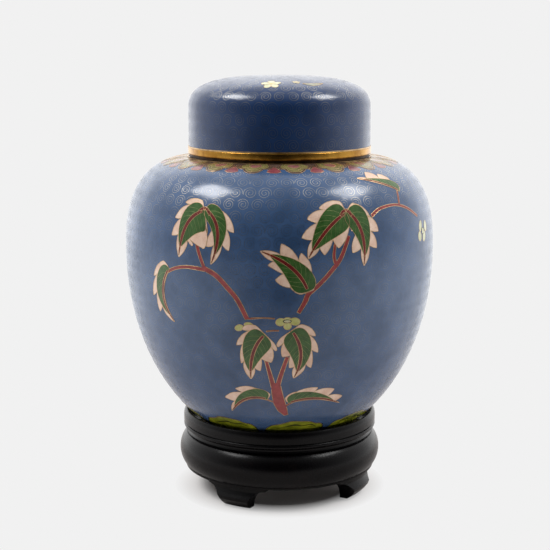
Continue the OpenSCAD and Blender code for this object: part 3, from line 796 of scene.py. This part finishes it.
class Leaf:
    """The flat outlines of one leaf: pink edge, green middle, red midrib and gilt veins."""

    def __init__(self, chart, rib, teeth, rib_width):
        base, middle, tip = (np.array(chart.flat(p)) for p in rib)
        self.base, self.tip = base, tip
        self.pull = 2 * middle - (base + tip) / 2
        self.sides = {1: [], -1: []}
        for tooth in teeth:
            t, reach = self.measure(np.array(chart.flat(tooth)))
            self.sides[1 if reach > 0 else -1].append((t, abs(reach)))
        for side in self.sides.values():
            side.sort()
        self.rib_width = rib_width
        self.pink = self.pink_outline()
        self.green = self.green_outline()
        line = np.array([self.at(t, 0) for t in np.linspace(RIB_FROM, RIB_TO, 24)])
        self.rib = ribbon(line, [0.75 * rib_width, rib_width, rib_width, 0.9 * rib_width, 0.35])
        self.veins = self.vein_lines()

    def at(self, t, reach):
        """The point at share t of the midrib, reach millimetres to its left."""
        p = (1 - t) ** 2 * self.base + 2 * t * (1 - t) * self.pull + t * t * self.tip
        run = (1 - t) * (self.pull - self.base) + t * (self.tip - self.pull)
        run /= np.hypot(*run)
        return p + reach * np.array([-run[1], run[0]])

    def measure(self, point):
        """The share of the midrib nearest to a point, and how far to its left the point is."""
        shares = np.linspace(-0.1, 1, 111)
        line = np.array([self.at(t, 0) for t in shares])
        k = int(np.argmin(np.hypot(*(line - point).T)))
        left = self.at(shares[k], 1) - line[k]
        return shares[k], float(np.dot(point - line[k], left))

    def green_reach(self, t, side):
        """Half-width of the green middle: blunt at the base and pointed towards the tip."""
        teeth = self.sides[side]
        if not teeth:
            return BARE_SIDE
        widest = 0.68 * max(reach for _, reach in teeth)
        share = (t - GREEN_FROM) / (GREEN_TO - GREEN_FROM)
        return widest * math.sin(math.pi * share ** 0.5) ** 0.7 if 0 < share < 1 else 0

    def green_outline(self):
        steps = GREEN_FROM + (GREEN_TO - GREEN_FROM) * np.linspace(0.001, 0.999, 36) ** 1.4
        left = [self.at(t, self.green_reach(t, 1)) for t in steps]
        right = [self.at(t, -self.green_reach(t, -1)) for t in steps[::-1]]
        return np.array(left + right)

    def edge(self, side):
        """One side of the pink edge: drop-shaped teeth that lean to the tip, cut back to the green."""
        teeth = self.sides[side]
        if not teeth:
            return [self.at(t, side * BARE_SIDE) for t in np.linspace(0, 0.9, 8)]
        first = teeth[0][0]
        root = first - TOOTH_LENGTH
        if root < 0:
            root, rise = BASE_AT, 0.6 * teeth[0][1]
        else:
            rise = self.green_reach(root, side)
        out = [self.at(BASE_AT, side * BARE_SIDE)]
        for k, (t, reach) in enumerate(teeth):
            tooth = self.at(t, side * reach)
            pull = self.at(root + 0.45 * (t - root), side * max(1.12 * reach, rise + 0.4))
            out.extend(bend(self.at(root, side * rise), pull, tooth, TEETH_STEPS))
            root = t - 0.06
            rise = self.green_reach(root, side) + 0.12
            back = self.at(root, side * rise)
            pull = self.at(t - 0.015, side * (0.35 * reach + 0.65 * rise))
            out.extend(bend(tooth, pull, back, TEETH_STEPS)[1:-1])
        start = self.at(root, side * rise)
        pull = self.at(root + 0.5 * (1 - root), side * (1.1 * rise + 0.5))
        out.extend(bend(start, pull, self.tip, TEETH_STEPS)[:-1])
        return out

    def pink_outline(self):
        return rounded(np.array(self.edge(1) + [self.tip] + self.edge(-1)[::-1]))

    def vein_lines(self):
        lines = []
        for side in (1, -1):
            if not self.sides[side]:
                continue
            for t in VEIN_STARTS:
                far = self.green_reach(t + 0.15, side) * 0.9
                if far > 1.2:
                    start = self.at(t, side * self.rib_width * 0.5)
                    end = self.at(t + 0.17, side * far)
                    lines.append(bend(start, self.at(t + 0.04, side * far * 0.6), end, 6))
        return lines


def stem_line(chart, points):
    return smooth([chart.flat(p) for p in points], 8)


def lay_spray(turn, jar, sheets, taken):
    """Lays all of one face's decoration, and notes every outline as taken."""
    chart = SideChart(jar, turn, JAR_SKIN)
    leaves = [Leaf(chart, rib, teeth, TWIG_RIB_WIDTH if name == "twig" else RIB_WIDTH)
              for name, (rib, teeth) in LEAVES.items()]
    stems = [ribbon(stem_line(chart, points), widths) for points, widths in STEMS.values()]
    for group in joined(stems):
        sheets["stems"].fill(chart, group, STEM_LIFT)
    leaf_edges = [leaf.pink for leaf in leaves]
    greens = [leaf.green for leaf in leaves]
    for k, stem in enumerate(stems):
        others = stems[:k] + stems[k + 1:] + leaf_edges
        sheets["wires"].rim_outside(chart, stem, others, CELL_WIRE, 0.5)
    for name, (petals, eye) in BLOSSOMS.items():
        petal_sheet = sheets["eyes" if name == "right" else "blossoms"]
        lay_blossom(chart, petals, eye, petal_sheet, sheets, leaf_edges, taken)
    for leaf in leaves:
        sheets["pink"].fill(chart, [leaf.pink], PINK_LIFT)
        sheets["green"].fill(chart, [leaf.green], GREEN_LIFT)
        sheets["ribs"].fill(chart, [leaf.rib], RIB_LIFT)
        sheets["wires"].rim_outside(chart, leaf.pink, greens, CELL_WIRE, 0.4)
        for outline in (leaf.green, leaf.rib):
            sheets["wires"].rim(chart, outline, FINE_WIRE)
        for vein in leaf.veins:
            sheets["veins"].wire(chart, vein, VEIN_WIRE)
    for arch in ARCHES:
        outline = ribbon(stem_line(chart, arch), [1.1, 1.2, 1.1])
        sheets["ribs"].fill(chart, [outline], DETAIL_LIFT)
        sheets["wires"].rim(chart, outline, FINE_WIRE)
        taken.add(chart, outline)
    for outline in stems + leaf_edges + greens:
        taken.add(chart, outline)


def lay_blossom(chart, petals, eye, petal_sheet, sheets, leaf_edges, taken):
    outlines = [ellipse(chart.flat(place), rx, ry, lean) for place, rx, ry, lean in petals]
    for group in joined(outlines):
        petal_sheet.fill(chart, group, STEM_LIFT)
    for k, outline in enumerate(outlines):
        others = outlines[:k] + leaf_edges
        sheets["wires"].rim_outside(chart, outline, others, FINE_WIRE, 0.4)
        taken.add(chart, outline)
    if eye:
        place, rx, ry = eye
        sheets["ink"].fill(chart, [ellipse(chart.flat(place), rx, ry)], RIB_LIFT)
        sheets["eyes"].fill(chart, [ellipse(chart.flat(place), rx - 0.35, ry - 0.3)], DETAIL_LIFT)


def joined(outlines):
    """Groups of outlines that touch one another."""
    groups = []
    for outline in outlines:
        merged, apart = [outline], []
        for group in groups:
            touches = any(inside(outline, o).any() or inside(o, outline).any() for o in group)
            if touches:
                merged += group
            else:
                apart.append(group)
        groups = apart + [merged]
    return groups


def runs_outside(line, outlines):
    """The stretches of a closed line that lie outside some outlines."""
    hidden = np.zeros(len(line), bool)
    for outline in outlines:
        hidden |= inside(line, outline)
    if not hidden.any():
        return [np.vstack([line, line[:1]])]
    first = int(np.argmax(hidden))
    line, hidden = np.roll(line, -first, axis=0), np.roll(hidden, -first)
    return stretches(line, ~hidden)


def stretches(line, kept, shortest=3):
    """The unbroken stretches of a line where kept is true."""
    marks = np.flatnonzero(np.diff(np.concatenate([[0], kept.astype(int), [0]])))
    return [line[a:b] for a, b in zip(marks[::2], marks[1::2]) if b - a >= shortest]


class Taken:
    """The places on a turned surface that decoration has taken, so that the scrolls keep off them."""

    CLEARANCE = 0.45

    def __init__(self):
        self.outlines, self.edge_points = [], []

    def add(self, chart, outline):
        self.outlines.append((chart, outline))
        edge = resampled(outline, 0.5, True)
        self.edge_points.append(chart.put(edge, 0)[0])

    def finish(self):
        points = np.vstack(self.edge_points)
        self.tree = kdtree.KDTree(len(points))
        for k, p in enumerate(points):
            self.tree.insert(Vector(p), k)
        self.tree.balance()

    def covers(self, chart, line):
        """Which points of a line on a chart are on, or close to, decoration."""
        placed = chart.put(line, 0)[0]
        hit = np.array([self.tree.find(Vector(p))[2] < self.CLEARANCE for p in placed])
        for other, outline in self.outlines:
            flat = other.flattened(placed)
            low, high = outline.min(axis=0), outline.max(axis=0)
            near = ((flat > low) & (flat < high)).all(axis=1)
            if near.any():
                hit |= near & inside(flat, outline)
        return hit


# ---- Scroll ground ----

SCROLL_TURNS = 2.3
SCROLL_STEPS = 34
# The scrolls' spacing along a row, the spacing of the rows, the first row's arc length, their radius
JAR_SCROLLS = (5.6, 5, 3, 2.6)
LID_SCROLLS = (5.4, 4.7, 2.9, 2.5)
LID_BARE_TOP = 4        # arc length left free at the very top of the lid


def scroll(radius, lean, hand):
    """One small cloud scroll: a coil that opens from its middle."""
    a = np.linspace(0, 2 * math.pi * SCROLL_TURNS, SCROLL_STEPS)
    r = radius * (0.1 + 0.9 * (a / a[-1]) ** 0.9)
    return np.stack([hand * r * np.cos(a + lean), r * np.sin(a + lean)], axis=1)


def lay_scrolls(outline, skin, sizes, s_high, taken, sheets):
    """Rows of scrolls round a turned surface, each row half a step from the one below."""
    pitch, row_pitch, s_low, radius = sizes
    rows = int(round((s_high - s_low) / row_pitch))
    for row in range(rows + 1):
        s = s_low + (s_high - s_low) * row / rows
        count = int(round(2 * math.pi * float(outline.radius(s)) / pitch))
        for k in range(count):
            turn = 360 * (k + 0.5 * (row % 2)) / count
            wobble = math.sin(12.9898 * k + 78.233 * row)
            coil = scroll(radius * (1 + 0.05 * wobble), 1.1 + 0.5 * wobble, 1 if k % 2 else -1)
            chart = SideChart(outline, turn, skin)
            line = coil + np.array([0, s])
            sheet = sheets[int(turn // (360 / len(sheets))) % len(sheets)]
            for run in stretches(line, ~taken.covers(chart, line), 4):
                sheet.wire(chart, run, SCROLL_WIRE, False, SCROLL_FOOT, SCROLL_CREST)


# ---- Shoulder band ----

LAPPETS = 18
LAPPET_TURN = 7.5
LAPPET_HEART = 42.5     # radius of the place that the lines inside a lappet shrink to
BAND_OUTER, BAND_INNER = 46.8, 37.6
LAST_SCROLLS = 50.5     # radius of the row of scrolls next to the lappets
# One side of a lappet, from its middle round to the neck: degrees from its middle, radius from the axis
LAPPET_LOBES = [[(0, 49.9), (2.2, 49.6), (4.1, 48.2), (4.9, 46.6)],
                [(4.9, 46.6), (6.6, 46.4), (7.9, 45), (8.1, 43), (7.2, 41)]]
LAPPET_FOOT = (6.6, 38.2)
LAPPET_FILL, LAPPET_HEART_FILL = 0.86, 0.4      # how far the olive and the mauve are shrunk
LAPPET_WIRES = (1, LAPPET_FILL, 0.66, LAPPET_HEART_FILL)
# One side of a spacer, in the same measures
SPACER_SIDE = [(0, 43.4), (1, 45.4), (2.7, 47.2), (3.3, 48.9), (1.6, 49.7)]


def mirrored(side):
    """A closed ring from one side, which starts and ends beside the middle line."""
    side = np.asarray(side, float)
    return np.vstack([side, side[::-1][:-1] * [-1, 1]])


def on_shoulder(jar, ring):
    """Flat millimetres for a ring of (degrees from the middle, radius from the axis)."""
    s = jar.at_radius(ring[:, 1])
    return np.stack([np.radians(ring[:, 0]) * jar.radius(s), s], axis=1)


def lappet_outline(jar, shrink):
    """A cloud-shaped lappet, drawn shrunk towards its heart for the lines inside it."""
    ring = mirrored(np.vstack([smooth(lobe, 6)[:-1] for lobe in LAPPET_LOBES] + [LAPPET_FOOT]))
    ring[:, 0] *= shrink
    ring[:, 1] = LAPPET_HEART + (ring[:, 1] - LAPPET_HEART) * shrink
    return on_shoulder(jar, ring)[::-1]


def band_piece(jar, turn):
    """One lappet's share of the plain band round the neck."""
    degrees = np.linspace(-turn / 2, turn / 2, 9)
    outer = np.stack([degrees, np.full(9, BAND_OUTER)], axis=1)
    inner = np.stack([degrees[::-1], np.full(9, BAND_INNER)], axis=1)
    return resampled(on_shoulder(jar, np.vstack([outer, inner])), 1, True)


def lay_shoulder(jar, sheets, taken):
    pitch = 360 / LAPPETS
    for k in range(LAPPETS):
        chart = SideChart(jar, LAPPET_TURN + k * pitch, JAR_SKIN)
        sheets["umber"].fill(chart, [band_piece(jar, pitch)], BAND_LIFT)
        outer = lappet_outline(jar, 1)
        sheets["umber"].fill(chart, [outer], PINK_LIFT)
        sheets["lappets"].fill(chart, [lappet_outline(jar, LAPPET_FILL)], GREEN_LIFT)
        sheets["lappet_eyes"].fill(chart, [lappet_outline(jar, LAPPET_HEART_FILL)], RIB_LIFT)
        for shrink in LAPPET_WIRES:
            sheets["wires"].rim(chart, lappet_outline(jar, shrink), CELL_WIRE)
        taken.add(chart, outer)
        between = SideChart(jar, LAPPET_TURN + (k + 0.5) * pitch, JAR_SKIN)
        spacer = on_shoulder(jar, mirrored(SPACER_SIDE))
        sheets["spacers"].fill(between, [spacer], STEM_LIFT)
        sheets["wires"].rim(between, spacer, FINE_WIRE)
        taken.add(between, spacer)


# ---- Mounds round the base ----

MOUNDS = 9
MOUND_TURN = 9
# The top line of a mound and the dark fold inside it: degrees from its middle, height
MOUND_TOP = [(-18, 33), (-17, 35.4), (-13.5, 37.4), (-8.5, 38.2), (-3, 39.7), (3, 39.6), (8, 39.1),
             (11.5, 37.9), (14.6, 37.6), (17.2, 35.9), (18, 33)]
MOUND_FOLD = [(-11, 35.5), (-5, 36.8), (0, 37.6), (4, 37), (9, 37.4), (13, 35.8)]


def lay_mounds(jar, sheets, taken):
    for k in range(MOUNDS):
        chart = SideChart(jar, MOUND_TURN + 360 / MOUNDS * k, JAR_SKIN)
        mirror = -1 if k % 2 else 1
        top = smooth([chart.flat((mirror * a, z)) for a, z in MOUND_TOP], 6)
        left, right = (chart.flat((mirror * a, BASE_Z + 0.3)) for a in (-18, 18))
        outline = np.vstack([[left], top, [right]])
        if mirror > 0:
            outline = outline[::-1]
        sheets["mounds"].fill(chart, [outline], STEM_LIFT)
        sheets["ink"].fill(chart, [ribbon(top, [0.45, 0.6, 0.5, 0.6, 0.45])], GREEN_LIFT)
        fold = smooth([chart.flat((mirror * a, z)) for a, z in MOUND_FOLD], 6)
        sheets["ink"].fill(chart, [ribbon(fold, [0.1, 0.5, 0.9, 0.3, 0.6, 0.1])], GREEN_LIFT)
        sheets["wires"].wire(chart, resampled(top, 0.5), FINE_WIRE)
        taken.add(chart, outline)


# ---- Lid ----

# The blossom and the bud as x, y and size, and the leaf's middle line, all as seen from above
LID_BLOSSOMS = [(-3.3, -28.6, 3.8), (6.6, -26.2, 1.5)]
LID_LEAF = [(9.2, -27.4), (13.2, -26.8), (17.4, -23.4)]
LID_LEAF_W = 1.7


def lay_lid_blossom(chart, x, y, size, sheets, taken):
    petals = []
    for k in range(5):
        lean = 72 * k + 18
        a = math.radians(lean)
        centre = (x + 0.6 * size * math.cos(a), y + 0.6 * size * math.sin(a))
        petals.append(ellipse(centre, 0.46 * size, 0.36 * size, lean))
    for petal in petals:
        sheets["wires"].rim(chart, petal, FINE_WIRE, 0.4)
        taken.add(chart, petal)
    for group in joined(petals):
        sheets["blossoms"].fill(chart, group, STEM_LIFT)
    eye = ellipse((x, y), 0.2 * size, 0.2 * size)
    sheets["eyes"].fill(chart, [eye], RIB_LIFT)
    sheets["wires"].rim(chart, eye, FINE_WIRE, 0.4)


def lay_lid_top(lid, sheets, taken):
    """A blossom, a bud and a leaf on the front slope of the crown, and again on the back."""
    for turn in FACES:
        chart = TopChart(lid, turn, LID_SKIN)
        for x, y, size in LID_BLOSSOMS:
            lay_lid_blossom(chart, x, y, size, sheets, taken)
        line = smooth(LID_LEAF, 10)
        leaf = ribbon(line, [0.3, LID_LEAF_W, 1.2 * LID_LEAF_W, 0.8 * LID_LEAF_W, 0.2])
        sheets["leaves"].fill(chart, [leaf], STEM_LIFT)
        sheets["wires"].rim(chart, leaf, CELL_WIRE, 0.4)
        sheets["wires"].wire(chart, resampled(line, 0.5), VEIN_WIRE)
        taken.add(chart, leaf)


def make_rim_ring(material):
    """The gilt ring round the lid's rim, with rounded edges."""
    outer = LID_RADIUS + 0.28
    inner = LID_RADIUS - 1.9
    low, high = RING_Z, LID_WALL_Z
    foot, brow = 0.5, 0.4       # radii of the rounding at the bottom and at the top
    turns = np.linspace(0, math.pi / 2, 6)
    section = [(inner, high), (inner, low)]
    section += [(outer - foot + foot * math.sin(a), low + foot - foot * math.cos(a)) for a in turns]
    section += [(outer - brow + brow * math.cos(a), high - brow + brow * math.sin(a)) for a in turns]
    section += [(LID_RADIUS - 0.3, high)]
    lathe("lid_rim_ring_gilt", section[::-1], material, "lid", ["lid_rim_ring"],
          columns=256)


# ---- Putting it together ----

def dress_cad_nodes(paints):
    """CAD parts whose shape is right keep it, and get a proper finish."""
    finishes = {
        "wood": ["stand_top_rail", "stand_waist_ring", "stand_belly_ring", "stand_seat_board",
                 "foot_right", "foot_back", "foot_left", "foot_front"],
        "copper": ["jar_body", "lid_body"],
        "lining": ["jar_lining", "jar_base_enamel", "lid_lining"],
        "brass": ["jar_foot_ring"],
        # the neck collar is painted near-black: painted shade under the lid's ring
        "shaded_collar": ["jar_neck_collar"],
        "gilt": ["neck_border_wire", "lid_border_wire"],
    }
    for paint, nodes in finishes.items():
        for node in nodes:
            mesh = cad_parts[node].data
            mesh.materials.clear()
            mesh.materials.append(paints[paint])


def new_sheets(names):
    return {name: Sheet() for name in names.split()}


def build_all(pieces, paints, body):
    for sheet, name, paint, slot, replaced in pieces:
        sheet.build(name, paints[paint], body, slot, replaced)


def make_jar(paints):
    jar = jar_outline()
    taken = Taken()
    spray = new_sheets("stems pink green ribs blossoms eyes ink wires veins")
    for turn in FACES:
        lay_spray(turn, jar, spray, taken)
    band = new_sheets("umber lappets lappet_eyes spacers wires")
    lay_shoulder(jar, band, taken)
    base = new_sheets("mounds ink wires")
    lay_mounds(jar, base, taken)
    taken.finish()
    scrolls = [Sheet() for _ in range(4)]
    lay_scrolls(jar, JAR_SKIN, JAR_SCROLLS, float(jar.at_radius(LAST_SCROLLS)), taken, scrolls)
    turned_skin("jar_ground_skin", jar, JAR_SKIN, paints["blue"], "jar",
                ["jar_ground_enamel", "shoulder_band_enamel"],
                thickness=0.36, top=jar.s[-1] - 0.05, rows=150, columns=360)
    pieces = [
        (spray["pink"], "leaf_edges", "pink", "leaf_pink", ["leaf_pink_enamel"]),
        (spray["green"], "leaf_middles", "green", "leaf_green", ["leaf_green_enamel"]),
        (spray["ribs"], "leaf_midribs", "rib", "branch_enamel", []),
        (spray["stems"], "branches", "red", "branch_enamel", ["branch_enamel"]),
        (spray["blossoms"], "blossoms", "leek", "blossom_enamel", ["blossom_enamel"]),
        (spray["eyes"], "blossom_eyes", "cream", "blossom_enamel", []),
        (spray["ink"], "blossom_eye_rims", "ink", "blossom_enamel", []),
        (spray["wires"], "spray_wires", "gilt", "gilt_brass", []),
        (spray["veins"], "leaf_veins", "vein", "gilt_brass", []),
        (band["umber"], "lappet_borders", "umber", "band_enamel", []),
        (band["lappets"], "cloud_lappets", "olive", "lappet_enamel", ["cloud_lappet_enamel"]),
        (band["lappet_eyes"], "lappet_hearts", "mauve", "band_enamel", []),
        (band["spacers"], "lappet_spacers", "brick", "spacer_enamel", ["lappet_spacer_enamel"]),
        (band["wires"], "shoulder_wires", "gilt", "gilt_brass", []),
        (base["mounds"], "base_mounds", "mound", "mound_enamel", ["base_mound_enamel"]),
        (base["ink"], "mound_outlines", "ink", "mound_enamel", []),
        (base["wires"], "mound_wires", "gilt", "gilt_brass", []),
    ]
    pieces += [(sheet, f"jar_scroll_wires_{k}", "scroll", "gilt_brass", [])
               for k, sheet in enumerate(scrolls)]
    build_all(pieces, paints, "jar")


def make_lid(paints):
    lid = lid_outline()
    taken = Taken()
    top = new_sheets("blossoms eyes leaves wires")
    lay_lid_top(lid, top, taken)
    taken.finish()
    scrolls = [Sheet() for _ in range(2)]
    lay_scrolls(lid, LID_SKIN, LID_SCROLLS, lid.s[-1] - LID_BARE_TOP, taken, scrolls)
    turned_skin("lid_ground_skin", lid, LID_SKIN, paints["lid_blue"], "lid",
                ["lid_ground_enamel"],
                thickness=0.45, top=lid.s[-1] - 0.02, rows=70, columns=320)
    make_rim_ring(paints["brass"])
    pieces = [
        (top["blossoms"], "lid_blossoms", "cream", "blossom_enamel", ["lid_blossom_enamel"]),
        (top["eyes"], "lid_blossom_eyes", "leek", "blossom_enamel", []),
        (top["leaves"], "lid_leaves", "sage", "pale_leaf", ["lid_leaf_enamel"]),
        (top["wires"], "lid_top_wires", "gilt", "gilt_brass", []),
    ]
    pieces += [(sheet, f"lid_scroll_wires_{k}", "lid_scroll", "gilt_brass", [])
               for k, sheet in enumerate(scrolls)]
    build_all(pieces, paints, "lid")


make_camera()
make_world()
make_floor()
for name, (direction, watts) in SOFT_BOXES.items():
    make_soft_box(name, direction, watts)
bpy.context.scene.view_settings.view_transform = "Standard"
paints = make_materials()
dress_cad_nodes(paints)
make_jar(paints)
make_lid(paints)
